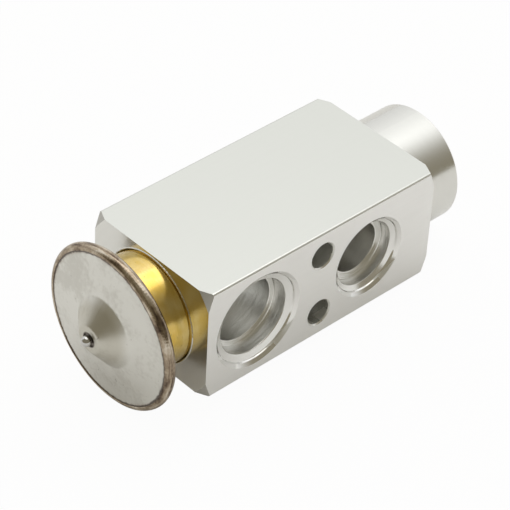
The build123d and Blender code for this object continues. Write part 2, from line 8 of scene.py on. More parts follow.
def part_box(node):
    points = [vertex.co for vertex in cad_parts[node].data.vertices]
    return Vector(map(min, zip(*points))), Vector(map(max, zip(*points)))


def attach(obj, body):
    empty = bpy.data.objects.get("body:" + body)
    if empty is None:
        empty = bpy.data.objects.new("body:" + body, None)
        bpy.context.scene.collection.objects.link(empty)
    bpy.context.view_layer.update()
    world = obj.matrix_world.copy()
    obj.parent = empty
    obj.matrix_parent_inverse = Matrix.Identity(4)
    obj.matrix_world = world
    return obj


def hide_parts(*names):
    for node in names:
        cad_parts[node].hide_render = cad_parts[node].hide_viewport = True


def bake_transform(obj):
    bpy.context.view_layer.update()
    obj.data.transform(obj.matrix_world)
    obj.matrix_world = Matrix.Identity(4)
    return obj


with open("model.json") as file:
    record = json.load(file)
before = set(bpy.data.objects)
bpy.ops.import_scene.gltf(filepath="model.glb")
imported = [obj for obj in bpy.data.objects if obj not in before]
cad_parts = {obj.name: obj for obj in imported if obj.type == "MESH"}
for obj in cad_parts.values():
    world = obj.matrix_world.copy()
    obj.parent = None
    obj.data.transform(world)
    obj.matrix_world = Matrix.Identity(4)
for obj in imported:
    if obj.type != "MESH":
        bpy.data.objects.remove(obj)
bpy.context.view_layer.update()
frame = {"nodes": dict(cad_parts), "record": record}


# Valve block. A length of extruded aluminium bar: its long faces keep fine die lines, its two
# ends, the spigot and the corner chamfers are turned in the lathe, and the ports and bolt holes
# are bored, so each surface shows the tool that made it.
MM = 0.001
mounts = {mount["name"]: mount for mount in frame["record"]["mounts"]}
block_low, block_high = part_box("valve_body")
AXIS_Y = (block_low.y + block_high.y) / 2 / MM
SPIGOT_START_X = 35.7
SUCTION_X, INLET_X, OUTLET_X = (mounts[port]["pos_m"][0] / MM for port in
                                ("suction_port_front", "liquid_inlet", "liquid_outlet"))
SUCTION_LIP, INLET_LIP, OUTLET_LIP = 12.6, 10.6, 9.4
BOLT_Z = mounts["fixing_holes"]["dims"]["spacing_y_mm"] / 2
BOLT_MOUTH = 3.6
EDGE = 0.02
CORNER_REACH = 20.0
# A slope is the share of a face's normal that lies along an axis. Pitches and noise sizes are in
# millimetres, and a scratch set has its turn about Z and how the noise is stretched.
TURNED_SLOPE, SEAT_SLOPE, PORT_FACE_SLOPE, END_SLOPE = 0.3, 0.4, 0.7, 0.95
FINE_PITCH, BROAD_PITCH, BORE_PITCH = 0.3, 1.3, 0.12
WANDER_SIZE, WANDER = 60.0, 0.4
CLOUD_SIZE, GRAIN_SIZE = 9.0, 0.35
SCRATCHES = ((0.5, (0.06, 2.4, 2.4)), (-0.35, (0.05, 3.0, 3.0)))
SCRATCH_START, SCRATCH_END = 0.68, 0.76

BAR_COLOUR = (0.71, 0.722, 0.685, 1)
# The port faces are painted lighter than the bar's other long faces: painted light, which makes up for the
# dim table that they reflect.
PORT_FACE_LIGHTENED_COLOUR = (0.95, 0.95, 0.94, 1)
TURNED_COLOUR = (0.82, 0.82, 0.79, 1)
CORNER_COLOUR = (0.52, 0.515, 0.49, 1)
SEAT_COLOUR = (0.90, 0.90, 0.885, 1)
# Bores and bolt holes are painted lighter than the bar: painted light that lifts the shade deep inside
# them.
LIFTED_BORE_COLOUR = (0.94, 0.94, 0.92, 1)
LIFTED_BOLT_BORE_COLOUR = (0.88, 0.88, 0.85, 1)
STAIN_COLOUR = (0.64, 0.64, 0.61, 1)
# What each mark adds: to the stain, to the roughness, and to the height in marks of MARK_HEIGHT.
CLOUD_STAIN, LINE_STAIN, CORNER_STAIN, SEAT_CLEANNESS = 0.16, 0.10, 0.4, 0.7
BAR_ROUGHNESS, TURNED_ROUGHNESS, BORE_ROUGHNESS = 0.25, 0.14, 0.11
LINE_DULLNESS, TURNED_LINE_DULLNESS = 0.05, 0.04
CLOUD_DULLNESS, SCRATCH_DULLNESS, CORNER_DULLNESS = 0.05, 0.10, 0.25
BAR_DEPTH, TURNED_DEPTH, SCRATCH_DEPTH, CORNER_DEPTH, BORE_DEPTH = 0.3, 0.5, 0.4, 3, 5
PORT_HAZE, BOLT_HAZE = 0.14, 0.22
MARK_HEIGHT = 0.006


class Wire:
    """One output of a material's node tree. Python arithmetic on it adds the Math nodes."""

    def __init__(self, socket):
        self.socket = socket

    def node(self, kind, settings, inputs, output=0):
        """Add a node: its settings or ramp stops first, then the values or wires of its inputs."""
        tree = self.socket.id_data
        made = tree.nodes.new(kind)
        for name, value in settings.items():
            if name == "stops":
                for stop in range(len(value) - 2):
                    made.color_ramp.elements.new(0.5)
                for element, (position, colour) in zip(made.color_ramp.elements, value):
                    element.position, element.color = position, colour
            else:
                setattr(made, name, value)
        for name, value in inputs.items():
            if isinstance(value, Wire):
                tree.links.new(value.socket, made.inputs[name])
            else:
                made.inputs[name].default_value = value
        return Wire(made.outputs[output]) if made.outputs else made

    def math(self, operation, *values):
        return self.node("ShaderNodeMath", {"operation": operation}, dict(enumerate(values)))

    def __add__(self, other):
        return self.math("ADD", self, other)

    def __radd__(self, other):
        return self.math("ADD", other, self)

    def __sub__(self, other):
        return self.math("SUBTRACT", self, other)

    def __rsub__(self, other):
        return self.math("SUBTRACT", other, self)

    def __mul__(self, other):
        return self.math("MULTIPLY", self, other)

    def __rmul__(self, other):
        return self.math("MULTIPLY", other, self)

    def __lt__(self, other):
        return self.math("LESS_THAN", self, other)

    def __gt__(self, other):
        return self.math("GREATER_THAN", self, other)

    def __abs__(self):
        return self.math("ABSOLUTE", self)


def start_finish(name):
    """New material: returns it with the wire of its Object coordinates in millimetres."""
    material = bpy.data.materials.new(name)
    material.use_nodes = True
    material.node_tree.nodes.clear()
    coordinates = Wire(material.node_tree.nodes.new("ShaderNodeTexCoord").outputs["Object"])
    return material, coordinates.node("ShaderNodeVectorMath", {"operation": "SCALE"},
                                      {0: coordinates, "Scale": 1 / MM})


def close_finish(height, height_mm, **inputs):
    """Feed a Principled shader by its sockets' names, with a bump that is height_mm high at 1."""
    bump = height.node("ShaderNodeBump", {}, {"Height": height, "Distance": height_mm * MM,
                                              "Strength": 1.0})
    sockets = {name.replace("_", " "): value for name, value in inputs.items()}
    shader = height.node("ShaderNodeBsdfPrincipled", {}, {**sockets, "Normal": bump})
    height.node("ShaderNodeOutputMaterial", {}, {"Surface": shader})


def parts(vector):
    """The x, y and z of a vector."""
    return [vector.node("ShaderNodeSeparateXYZ", {}, {0: vector}, output=part) for part in range(3)]


def reach(first, second):
    """Distance in a plane: the square root of the sum of both squares."""
    return first.math("SQRT", first * first + second * second)


def fade(value, start, end):
    """Goes smoothly from 0 where the value is at start to 1 where it is at end."""
    return value.node("ShaderNodeMapRange", {"interpolation_type": "SMOOTHSTEP"},
                      {"Value": value, "From Min": start, "From Max": end})


def blend(mask, first, second):
    """Colour mix: first where the mask is 0, second where it is 1. The Mix node has its factor at
    socket 0 and its colours at sockets 6 and 7."""
    return mask.node("ShaderNodeMix", {"data_type": "RGBA"}, {0: mask, 6: first, 7: second}, output=2)


def switch(mask, first, second):
    """Number mix: first where the mask is 0, second where it is 1."""
    return first * (1 - mask) + second * mask


def larger(first, second):
    """The larger of two numbers."""
    return first.math("MAXIMUM", first, second)


def noise(place, size, detail=2.0):
    """Cloudy noise from 0 to 1 whose blotches are about size across, in millimetres."""
    return place.node("ShaderNodeTexNoise", {}, {"Vector": place, "Scale": 1 / size, "Detail": detail})


def tool_marks(travel, pitch):
    """Noise along the tool's travel only, so that it draws rings or straight lines at that pitch."""
    return travel.node("ShaderNodeTexNoise", {"noise_dimensions": "1D"},
                       {"W": travel, "Scale": 1 / pitch, "Detail": 2.0, "Roughness": 0.6})


def stretched(place, scale, turn_z=0.0):
    """Place turned about Z and scaled for each axis, to draw a noise out along one direction."""
    return place.node("ShaderNodeMapping", {}, {"Vector": place, "Rotation": (0, 0, turn_z),
                                                "Scale": scale})


def slopes(place):
    """How far the surface faces along X and along Y, from 0 to 1, whichever way it points."""
    normal = place.node("ShaderNodeTexCoord", {}, {}, output="Normal")
    return [abs(part) for part in parts(normal)[:2]]


def turning(place):
    """Travel of the lathe tool: along x on a cylinder, and away from the axis on an end or cone."""
    x, y, z = parts(place)
    return switch(slopes(place)[0] > TURNED_SLOPE, x, reach(y - AXIS_Y, z))


def block_finish():
    """Masks pick out each port, bolt hole, turned surface and bar face; each gets its tool's marks."""
    material, place = start_finish("machined_aluminium")
    x, y, z = parts(place)
    slope_x, slope_y = slopes(place)
    front = y < AXIS_Y
    suction, inlet, outlet = reach(x - SUCTION_X, z), reach(x - INLET_X, z), reach(x - OUTLET_X, z)
    bolt = reach(x, abs(z) - BOLT_Z)
    from_axis = reach(y - AXIS_Y, z)
    in_suction = suction < SUCTION_LIP + EDGE
    in_inlet = (inlet < INLET_LIP + EDGE) * front
    in_outlet = (outlet < OUTLET_LIP + EDGE) * (1 - front)
    in_bolt = bolt < BOLT_MOUTH + EDGE
    in_port = in_suction + in_inlet + in_outlet
    in_bore = in_port + in_bolt
    seat = in_port * (slope_y > SEAT_SLOPE)
    port_wall = in_port * (1 - seat)
    lightened_port_face = (slope_y > PORT_FACE_SLOPE) * (1 - in_bore)
    turned = larger(slope_x > TURNED_SLOPE, x > SPIGOT_START_X) * (1 - in_bore)
    corner = (slope_x > TURNED_SLOPE) * (slope_x < END_SLOPE) * (from_axis > CORNER_REACH)

    ring_travel = suction * in_suction + inlet * in_inlet + outlet * in_outlet
    port_travel = switch(seat, y, ring_travel)
    bar_travel = y + z + noise(place, WANDER_SIZE) * WANDER
    travel = switch(in_bore, switch(turned, bar_travel, turning(place)), port_travel)
    fine, broad = tool_marks(travel, FINE_PITCH), tool_marks(travel, BROAD_PITCH)
    bored = tool_marks(travel, BORE_PITCH) * in_bore * (1 - seat)
    cloud, grain = noise(place, CLOUD_SIZE, detail=4.0), noise(place, GRAIN_SIZE, detail=3.0)
    rising, falling = (noise(stretched(place, scale, turn), 1.0, detail=3.0) for turn, scale in SCRATCHES)
    scratches = fade(larger(rising, falling), SCRATCH_START, SCRATCH_END) * (1 - in_bore) * (1 - turned)

    # Port faces get a lighter colour: painted light.
    colour = blend(lightened_port_face, BAR_COLOUR, PORT_FACE_LIGHTENED_COLOUR)
    colour = blend(turned, colour, TURNED_COLOUR)
    colour = blend(corner, colour, CORNER_COLOUR)
    # Ports and bolt holes get lighter colours: painted light that lifts the shade inside them.
    colour = blend(in_port, colour, LIFTED_BORE_COLOUR)
    colour = blend(seat, colour, SEAT_COLOUR)
    colour = blend(in_bolt, colour, LIFTED_BOLT_BORE_COLOUR)
    stain = (cloud * CLOUD_STAIN + broad * LINE_STAIN) * (1 - seat * SEAT_CLEANNESS)
    colour = blend(stain + grain * corner * CORNER_STAIN, colour, STAIN_COLOUR)
    bar_roughness = BAR_ROUGHNESS + broad * LINE_DULLNESS
    turned_roughness = TURNED_ROUGHNESS + broad * TURNED_LINE_DULLNESS
    bore_roughness = BORE_ROUGHNESS + broad * LINE_DULLNESS
    roughness = switch(in_bore, switch(turned, bar_roughness, turned_roughness), bore_roughness)
    roughness += cloud * CLOUD_DULLNESS + scratches * SCRATCH_DULLNESS + corner * CORNER_DULLNESS
    height = switch(turned, fine * BAR_DEPTH, fine * TURNED_DEPTH) + grain * corner * CORNER_DEPTH
    height += bored * BORE_DEPTH + scratches * SCRATCH_DEPTH
    close_finish(height, MARK_HEIGHT, Base_Color=colour, Roughness=roughness,
                 Metallic=1 - port_wall * PORT_HAZE - in_bolt * BOLT_HAZE)
    return material


def dress(node, material):
    """Give a CAD node one material for all its faces."""
    mesh = frame["nodes"][node].data
    mesh.materials.clear()
    mesh.materials.append(material)


dress("valve_body", block_finish())


# Orifice insert, valve ball, ball carrier and operating rod. Turned stainless steel with fine
# rings from the tool; the ball is ground and polished. The insert is pressed into the block, and
# the rod pushes the ball off its seat.
STEEL_COLOUR, STEEL_DULL = (0.56, 0.555, 0.53, 1), (0.44, 0.43, 0.41, 1)
BALL_COLOUR, BALL_DULL = (0.66, 0.66, 0.65, 1), (0.58, 0.575, 0.56, 1)
STEEL_ROUGHNESS, BALL_ROUGHNESS = 0.22, 0.0
COARSE_PITCH = 1.2
DULL_SIZE = 4.0
DULL_CLOUD, DULL_LINES = 0.5, 0.3
FINE_SHARE, COARSE_SHARE = 0.7, 0.3


def turned_metal(name, colour, dull_colour, roughness):
    """Metal turned about the valve axis, with the lathe tool's marks, a fine and a coarse set."""
    material, place = start_finish(name)
    travel = turning(place)
    fine, coarse = tool_marks(travel, FINE_PITCH), tool_marks(travel, COARSE_PITCH)
    cloud = noise(place, DULL_SIZE, detail=4.0)
    close_finish(fine * FINE_SHARE + coarse * COARSE_SHARE, MARK_HEIGHT, Metallic=1.0,
                 Base_Color=blend(cloud * DULL_CLOUD + coarse * DULL_LINES, colour, dull_colour),
                 Roughness=roughness + coarse * 0.10 + cloud * 0.10)
    return material


turned_steel = turned_metal("turned_steel", STEEL_COLOUR, STEEL_DULL, STEEL_ROUGHNESS)
polished_steel = turned_metal("polished_steel", BALL_COLOUR, BALL_DULL, BALL_ROUGHNESS)
for node in ("orifice_insert", "ball_carrier", "operating_rod"):
    dress(node, turned_steel)
dress("valve_ball", polished_steel)


# Damper ring and seal retainer. Stamped spring steel with faint lines. The damper's legs rub the
# chamber wall, and the retainer grips its bore.
SPRING_COLOUR, SPRING_DULL = (0.50, 0.495, 0.48, 1), (0.36, 0.35, 0.34, 1)
SPRING_ROUGHNESS = 0.26
spring_steel = turned_metal("spring_steel", SPRING_COLOUR, SPRING_DULL, SPRING_ROUGHNESS)
for node in ("damper_spring", "seal_retainer"):
    dress(node, spring_steel)


# Valve spring. Bright drawn wire, coiled in five turns, which presses carrier and ball towards
# the seat. It is built as two halves that meet at mid length.
WIRE_RADIUS = 0.6 * MM
COIL_RADIUS = 4.55 * MM
COIL_TURNS = 5
COIL_STEPS = 160
WIRE_STEPS = 24
axis_y = AXIS_Y * MM
spring_low, spring_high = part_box("valve_spring")
coil_start = Vector((spring_low.x + WIRE_RADIUS, axis_y, 0))
coil_end = Vector((spring_high.x - WIRE_RADIUS, axis_y, 0))


def coiled_wire(first, last):
    """Half of the spring, between two shares of its length. The wire's centre goes round the axis
    at the coil's radius while x grows evenly, and its section is a circle square to its path. A
    fan of triangles closes each end. Returns points and faces."""
    share = np.linspace(first, last, COIL_STEPS + 1)[:, None]
    turn = 2 * np.pi * COIL_TURNS * share
    outwards = np.concatenate([0 * turn, -np.sin(turn), np.cos(turn)], axis=-1)
    centre = np.array(coil_start) + share * np.array(coil_end - coil_start) + COIL_RADIUS * outwards
    path = np.gradient(centre, axis=0)
    across = np.cross(path / np.linalg.norm(path, axis=-1, keepdims=True), outwards)
    round_wire = (np.arange(WIRE_STEPS) * 2 * np.pi / WIRE_STEPS)[None, :, None]
    wire = centre[:, None] + WIRE_RADIUS * (np.cos(round_wire) * outwards[:, None]
                                            + np.sin(round_wire) * across[:, None])
    points = np.vstack([wire.reshape(-1, 3), centre[:1], centre[-1:]])
    row, step = np.meshgrid(np.arange(COIL_STEPS) * WIRE_STEPS, np.arange(WIRE_STEPS), indexing="ij")
    after = (step + 1) % WIRE_STEPS
    faces = np.stack([row + step, row + after, row + WIRE_STEPS + after, row + WIRE_STEPS + step],
                     axis=-1).reshape(-1, 4).tolist()
    ring, foot = np.arange(WIRE_STEPS), COIL_STEPS * WIRE_STEPS
    following = (ring + 1) % WIRE_STEPS
    first_end, last_end = np.full(WIRE_STEPS, foot + WIRE_STEPS), np.full(WIRE_STEPS, foot + WIRE_STEPS + 1)
    faces += np.stack([first_end, following, ring], axis=-1).tolist()
    faces += np.stack([last_end, foot + ring, foot + following], axis=-1).tolist()
    return points, faces


def add_piece(name, points, faces, material, slot_name):
    """Put a mesh into the scene as a piece with its material. The slot name is not used."""
    mesh = bpy.data.meshes.new(name)
    mesh.from_pydata(points.tolist(), [], faces)
    mesh.materials.append(material)
    mesh.shade_smooth()
    piece = bpy.data.objects.new(name, mesh)
    bpy.context.collection.objects.link(piece)
    return piece


carrier_half = add_piece("valve_spring_carrier_half", *coiled_wire(0.0, 0.5), spring_steel,
                         "spring_steel")
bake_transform(carrier_half)
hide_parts("valve_spring")
screw_half = add_piece("valve_spring_screw_half", *coiled_wire(0.5, 1.0), spring_steel, "spring_steel")
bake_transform(screw_half)
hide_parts("valve_spring")


# Ring seals at the rod, the adjusting screw and the head. Moulded black rubber, matt, with a
# light bloom on the surface.
RUBBER_COLOUR, BLOOM_COLOUR = (0.018, 0.018, 0.019, 1), (0.045, 0.045, 0.046, 1)
RUBBER_ROUGHNESS, BLOOM_DULLNESS = 0.45, 0.25
BLOOM_SIZE = 2.5
RUBBER_GRAIN_SIZE, RUBBER_GRAIN_HEIGHT = 0.08, 0.01


def rubber_finish():
    """Cloud noise lightens the rubber where it has bloomed, and a fine grain roughens it."""
    material, place = start_finish("seal_rubber")
    bloom, grain = noise(place, BLOOM_SIZE, detail=4.0), noise(place, RUBBER_GRAIN_SIZE)
    close_finish(grain, RUBBER_GRAIN_HEIGHT, Base_Color=blend(bloom, RUBBER_COLOUR, BLOOM_COLOUR),
                 Roughness=RUBBER_ROUGHNESS + bloom * BLOOM_DULLNESS)
    return material


seal_rubber = rubber_finish()
for node in ("rod_seal", "adjuster_seal", "head_seal"):
    dress(node, seal_rubber)


# Adjusting screw and the thread that it runs in. The screw is turned brass with a fine 60 degree
# thread of 1 mm pitch, a seal groove, a hollow nose for the spring and a hexagon key socket; the
# matching thread is cut in the spigot's bore.
THREAD_PITCH = 1.0 * MM
SCREW_CREST = 8.9 * MM
SCREW_ROOT = 8.36 * MM
BORE_RADIUS = 9.0 * MM
BORE_CREST = 8.5 * MM
BORE_VALLEY = 8.96 * MM
BORE_SKIN = 0.04 * MM
SCREW_FLATS, BORE_FLATS = (0.25, 0.125), (0.25, 0.15)
THREAD_STEPS = 16
ROUND_STEPS = 96
NOSE_RADIUS = 7.95 * MM
POCKET_RADIUS = 5.7 * MM
POCKET_DEPTH = 4.0 * MM
GROOVE_RADIUS = 6.4 * MM
GROOVE_START, GROOVE_END = 1.3 * MM, 3.2 * MM
THREAD_LENGTH = 9.0 * MM
SCREW_CHAMFER = 0.5 * MM
KEY_FLATS = 8.0 * MM
KEY_DEPTH = 6.0 * MM
KEY_MOUTH = 0.4 * MM
KEY_CONE = 1.2 * MM
KEY_POINT = 0.05
BORE_THREAD_RUNOUT = 1.5 * MM
BORE_MOUTH_CHAMFER = 0.8 * MM
screw_low, screw_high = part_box("adjusting_screw")
BRASS_COLOUR, BRASS_DULL = (0.74, 0.56, 0.26, 1), (0.55, 0.38, 0.16, 1)
THREAD_ROUGHNESS = 0.20


def thread_height(x, angle, flats):
    """A fine thread's height from 0 to 1: a triangle wave of x / pitch + angle / turn, cut flat
    over a share of its height at its foot and at its top."""
    foot, top = flats
    phase = (x / THREAD_PITCH + angle / (2 * np.pi)) % 1.0
    return np.clip((np.abs(2 * phase - 1) - foot) / (1 - foot - top), 0, 1)


def turned_shell(x, radius, closed):
    """Surface of rings round the valve axis: x and radius are arrays of rows by steps round, and
    each point is x, axis - radius * sine, radius * cosine. A closed shell joins its last row to
    its first; an open one gets a pole at each end. Returns points and faces, facing outwards
    where the rows go towards +X along the outside."""
    rows, steps = radius.shape
    angle = np.arange(steps) * 2 * np.pi / steps
    points = np.stack([x, axis_y - radius * np.sin(angle), radius * np.cos(angle)], axis=-1)
    points = points.reshape(-1, 3)
    last = rows if closed else rows - 1
    row, step = np.meshgrid(np.arange(last), np.arange(steps), indexing="ij")
    here, there = row * steps, (row + 1) % rows * steps
    after = (step + 1) % steps
    quads = np.stack([here + step, here + after, there + after, there + step], axis=-1).reshape(-1, 4)
    faces = quads.tolist()
    if not closed:
        points = np.vstack([points, (x[0, 0], axis_y, 0), (x[-1, 0], axis_y, 0)])
        ring, foot = np.arange(steps), (rows - 1) * steps
        following = (ring + 1) % steps
        first_pole, last_pole = np.full(steps, rows * steps), np.full(steps, rows * steps + 1)
        faces += np.stack([first_pole, following, ring], axis=-1).tolist()
        faces += np.stack([last_pole, foot + ring, foot + following], axis=-1).tolist()
    return points, faces


def rings(*profile):
    """Round rows of a turned shell, one for each pair of an x and a radius."""
    return [(np.full(ROUND_STEPS, x), np.full(ROUND_STEPS, radius)) for x, radius in profile]


def stacked(rows):
    """The x and the radius of all rows as two arrays."""
    return [np.array(part) for part in zip(*rows)]


def screw_rows():
    """From the pocket's floor out over the nose, groove and thread, to the key socket's floor.
    The socket's radius is half its width over flats, divided by the cosine of the angle from the
    middle of the nearest flat."""
    angle = np.arange(ROUND_STEPS) * 2 * np.pi / ROUND_STEPS
    nose, face = screw_low.x, screw_high.x
    start, end = face - THREAD_LENGTH, face - SCREW_CHAMFER
    rows = rings((nose + POCKET_DEPTH, POCKET_RADIUS), (nose, POCKET_RADIUS), (nose, NOSE_RADIUS),
                 (nose + GROOVE_START, NOSE_RADIUS), (nose + GROOVE_START, GROOVE_RADIUS),
                 (nose + GROOVE_END, GROOVE_RADIUS), (nose + GROOVE_END, NOSE_RADIUS), (start, NOSE_RADIUS))
    for x in np.arange(start, end, THREAD_PITCH / THREAD_STEPS):
        height = thread_height(x, angle, SCREW_FLATS) * np.clip((x - start) / THREAD_PITCH, 0, 1)
        rows.append((np.full(ROUND_STEPS, x), SCREW_ROOT + (SCREW_CREST - SCREW_ROOT) * height))
    flats = KEY_FLATS / 2 / np.cos((angle + np.pi / 6) % (np.pi / 3) - np.pi / 6)
    rows += rings((end, SCREW_ROOT), (face, SCREW_ROOT - SCREW_CHAMFER / 2),
                  (face, flats.max() + KEY_MOUTH / 2))
    rows += [(np.full(ROUND_STEPS, face - depth), radius) for depth, radius in
             ((KEY_MOUTH, flats), (KEY_DEPTH, flats), (KEY_DEPTH + KEY_CONE, flats * KEY_POINT))]
    return rows


turned_brass = turned_metal("turned_brass", BRASS_COLOUR, BRASS_DULL, THREAD_ROUGHNESS)
screw_shell = turned_shell(*stacked(screw_rows()), closed=False)
screw = add_piece("threaded_adjusting_screw", *screw_shell, turned_brass, "screw_brass")
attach(screw, "adjuster")
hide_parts("adjusting_screw")


def bore_thread_rows():
    """The ridge of the spigot's thread, closed by a thin skin that lies inside the bore's wall."""
    angle = np.arange(ROUND_STEPS) * 2 * np.pi / ROUND_STEPS
    start = screw_high.x - THREAD_LENGTH - BORE_THREAD_RUNOUT
    end = block_high.x - BORE_MOUTH_CHAMFER
    rows = []
    for x in np.arange(end, start, -THREAD_PITCH / THREAD_STEPS):
        run_out = np.clip((end - x) / THREAD_PITCH, 0, 1) * np.clip((x - start) / THREAD_PITCH, 0, 1)
        height = (1 - thread_height(x, angle, BORE_FLATS)) * run_out
        rows.append((np.full(ROUND_STEPS, x), BORE_VALLEY - (BORE_VALLEY - BORE_CREST) * height))
    return rows + rings((start, BORE_RADIUS + BORE_SKIN), (end, BORE_RADIUS + BORE_SKIN))


threaded_aluminium = turned_metal("threaded_aluminium", TURNED_COLOUR, STAIN_COLOUR, THREAD_ROUGHNESS)
thread_shell = turned_shell(*stacked(bore_thread_rows()), closed=True)
thread = add_piece("spigot_thread", *thread_shell, threaded_aluminium, "body_aluminium")
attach(thread, "valve_body")


# Sensing shaft and diaphragm pad. The shaft is turned aluminium, which takes the temperature of
# the suction gas to the pad; the pad is turned steel and rides under the diaphragm.
SHAFT_COLOUR, SHAFT_DULL = (0.74, 0.74, 0.72, 1), (0.60, 0.60, 0.58, 1)
SHAFT_ROUGHNESS = 0.20
shaft_aluminium = turned_metal("shaft_aluminium", SHAFT_COLOUR, SHAFT_DULL, SHAFT_ROUGHNESS)
dress("sensing_shaft", shaft_aluminium)
dress("diaphragm_pad", turned_steel)


# Collar. Turned steel with a yellow passivated zinc plate, screwed into the block. The plate is
# thin, so it varies in tint, and it has small dark specks.
COLLAR_COLOUR = (0.72, 0.475, 0.07, 1)
COLLAR_PALE = (0.88, 0.72, 0.35, 1)
SPECK_COLOUR = (0.12, 0.08, 0.03, 1)
PLATE_TINT_SIZE, PLATE_TINT_START, PLATE_TINT_END = 5.0, 0.3, 0.7
SPECK_SIZE, SPECK_START, SPECK_END = 0.55, 0.73, 0.78
PALE_CLOUD, PALE_LINES, SPECK_SHARE = 0.6, 0.25, 0.8
PLATE_ROUGHNESS, PLATE_DEPTH = 0.13, 0.3
PLATE_COAT, PLATE_COAT_ROUGHNESS = 0.25, 0.12


def plated_finish():
    """Cloud noise moves the tint from deep to pale gold, and rare spots of a fine noise are dark."""
    material, place = start_finish("yellow_zinc_plate")
    travel = turning(place)
    fine, broad = tool_marks(travel, FINE_PITCH), tool_marks(travel, BROAD_PITCH)
    tint = noise(place, PLATE_TINT_SIZE, detail=4.0)
    specks = fade(noise(place, SPECK_SIZE, detail=1.0), SPECK_START, SPECK_END)
    pale = fade(tint, PLATE_TINT_START, PLATE_TINT_END) * PALE_CLOUD + broad * PALE_LINES
    colour = blend(specks * SPECK_SHARE, blend(pale, COLLAR_COLOUR, COLLAR_PALE), SPECK_COLOUR)
    close_finish(fine * PLATE_DEPTH + broad * PLATE_DEPTH - specks, MARK_HEIGHT, Metallic=1.0,
                 Base_Color=colour, Roughness=PLATE_ROUGHNESS + broad * 0.05 + tint * 0.06,
                 Coat_Weight=PLATE_COAT, Coat_Roughness=PLATE_COAT_ROUGHNESS)
    return material


dress("head_collar", plated_finish())


# Covers and diaphragm of the power head. Pressed stainless sheet, dull and faintly stained, with
# a heat tint that browns towards the welded rim. The lower cover is brazed to the collar, which
# has tinted all of it olive brown.
COVER_COLOUR = (0.79, 0.785, 0.745, 1)
COVER_STAIN = (0.50, 0.48, 0.435, 1)
BASE_COLOUR = (0.36, 0.32, 0.24, 1)
BASE_STAIN = (0.24, 0.20, 0.13, 1)
HEAT_TINT = (0.34, 0.25, 0.17, 1)
SPOT_COLOUR = (0.16, 0.14, 0.12, 1)
# Dark colour of the bead seam. It also paints shade in a ring round the charge ball.
SEAM_AND_SHADE_COLOUR = (0.10, 0.08, 0.07, 1)
# Olive darkening of the cone: partly heat tint, partly painted shade for the dim room that the cone's upper
# side reflects.
CONE_TINT_AND_SHADE = (0.44, 0.405, 0.31, 1)
TINT_START, TINT_END = 18.2, 19.3
SEAM_START, SEAM_END = 18.55, 18.9
# Radii of the dark ring round the charge ball: painted shade, standing in for the shade in the recess that
# the ball sits in.
BALL_SHADE_START, BALL_SHADE_END = 2.1, 1.8
CONE_SHADE_START, CONE_SHADE_END = 9.0, 6.5
STAIN_START, STAIN_END = 0.46, 0.62
SPOT_START, SPOT_END = 0.82, 0.87
MOTTLE_SIZE, SPOT_SIZE, SKIN_GRAIN_SIZE = 1.1, 0.8, 0.12
CLOUD_RAGGED, MOTTLE_RAGGED, SEAM_RAGGED = 1.2, 0.5, 0.6
STAIN_SHARE, CONE_SHADE_SHARE, SPOT_SHARE, TINT_SHARE, SEAM_AND_SHADE_SHARE = 0.3, 0.45, 0.4, 0.55, 0.85
SKIN_ROUGHNESS, SKIN_HEIGHT = 0.30, 0.008


def cover_finish(name, colour, stain_colour):
    """Stains are cloud noise at two sizes, with rare dark spots. A heat tint grows towards the
    rim. Towards the charge ball the cone darkens to olive: partly heat tint, partly painted shade
    for the dim room that its upper side reflects. The seam at the bead is dark, a dark ring round
    the ball is painted shade in its recess, and a fine grain roughens the skin."""
    material, place = start_finish(name)
    x, y, z = parts(place)
    from_axis = reach(y - AXIS_Y, z)
    clouds, mottle = noise(place, CLOUD_SIZE, detail=5.0), noise(place, MOTTLE_SIZE, detail=3.0)
    grain = noise(place, SKIN_GRAIN_SIZE)
    stains = fade(clouds * 0.7 + mottle * 0.3, STAIN_START, STAIN_END)
    spots = fade(noise(place, SPOT_SIZE, detail=0.0), SPOT_START, SPOT_END)
    ragged = from_axis + (clouds - 0.5) * CLOUD_RAGGED + (mottle - 0.5) * MOTTLE_RAGGED
    # The dark bead seam, and round the charge ball a ring of painted shade in its recess.
    seams_and_ball_shade = larger(fade(from_axis + (mottle - 0.5) * SEAM_RAGGED, SEAM_START, SEAM_END),
                   fade(from_axis, BALL_SHADE_START, BALL_SHADE_END))
    colour = blend(stains * STAIN_SHARE, colour, stain_colour)
    # The cone darkens to olive: partly heat tint, partly painted shade.
    colour = blend(fade(ragged, CONE_SHADE_START, CONE_SHADE_END) * CONE_SHADE_SHARE, colour, CONE_TINT_AND_SHADE)
    colour = blend(spots * SPOT_SHARE, colour, SPOT_COLOUR)
    colour = blend(fade(ragged, TINT_START, TINT_END) * TINT_SHARE, colour, HEAT_TINT)
    colour = blend(seams_and_ball_shade * SEAM_AND_SHADE_SHARE, colour, SEAM_AND_SHADE_COLOUR)
    close_finish(grain * 0.6 + mottle, SKIN_HEIGHT, Base_Color=colour, Metallic=1.0,
                 Roughness=SKIN_ROUGHNESS + mottle * 0.08 + stains * 0.08)
    return material


dress("head_cover", cover_finish("pressed_stainless", COVER_COLOUR, COVER_STAIN))
dress("head_base", cover_finish("brazed_stainless", BASE_COLOUR, BASE_STAIN))
dress("diaphragm", spring_steel)


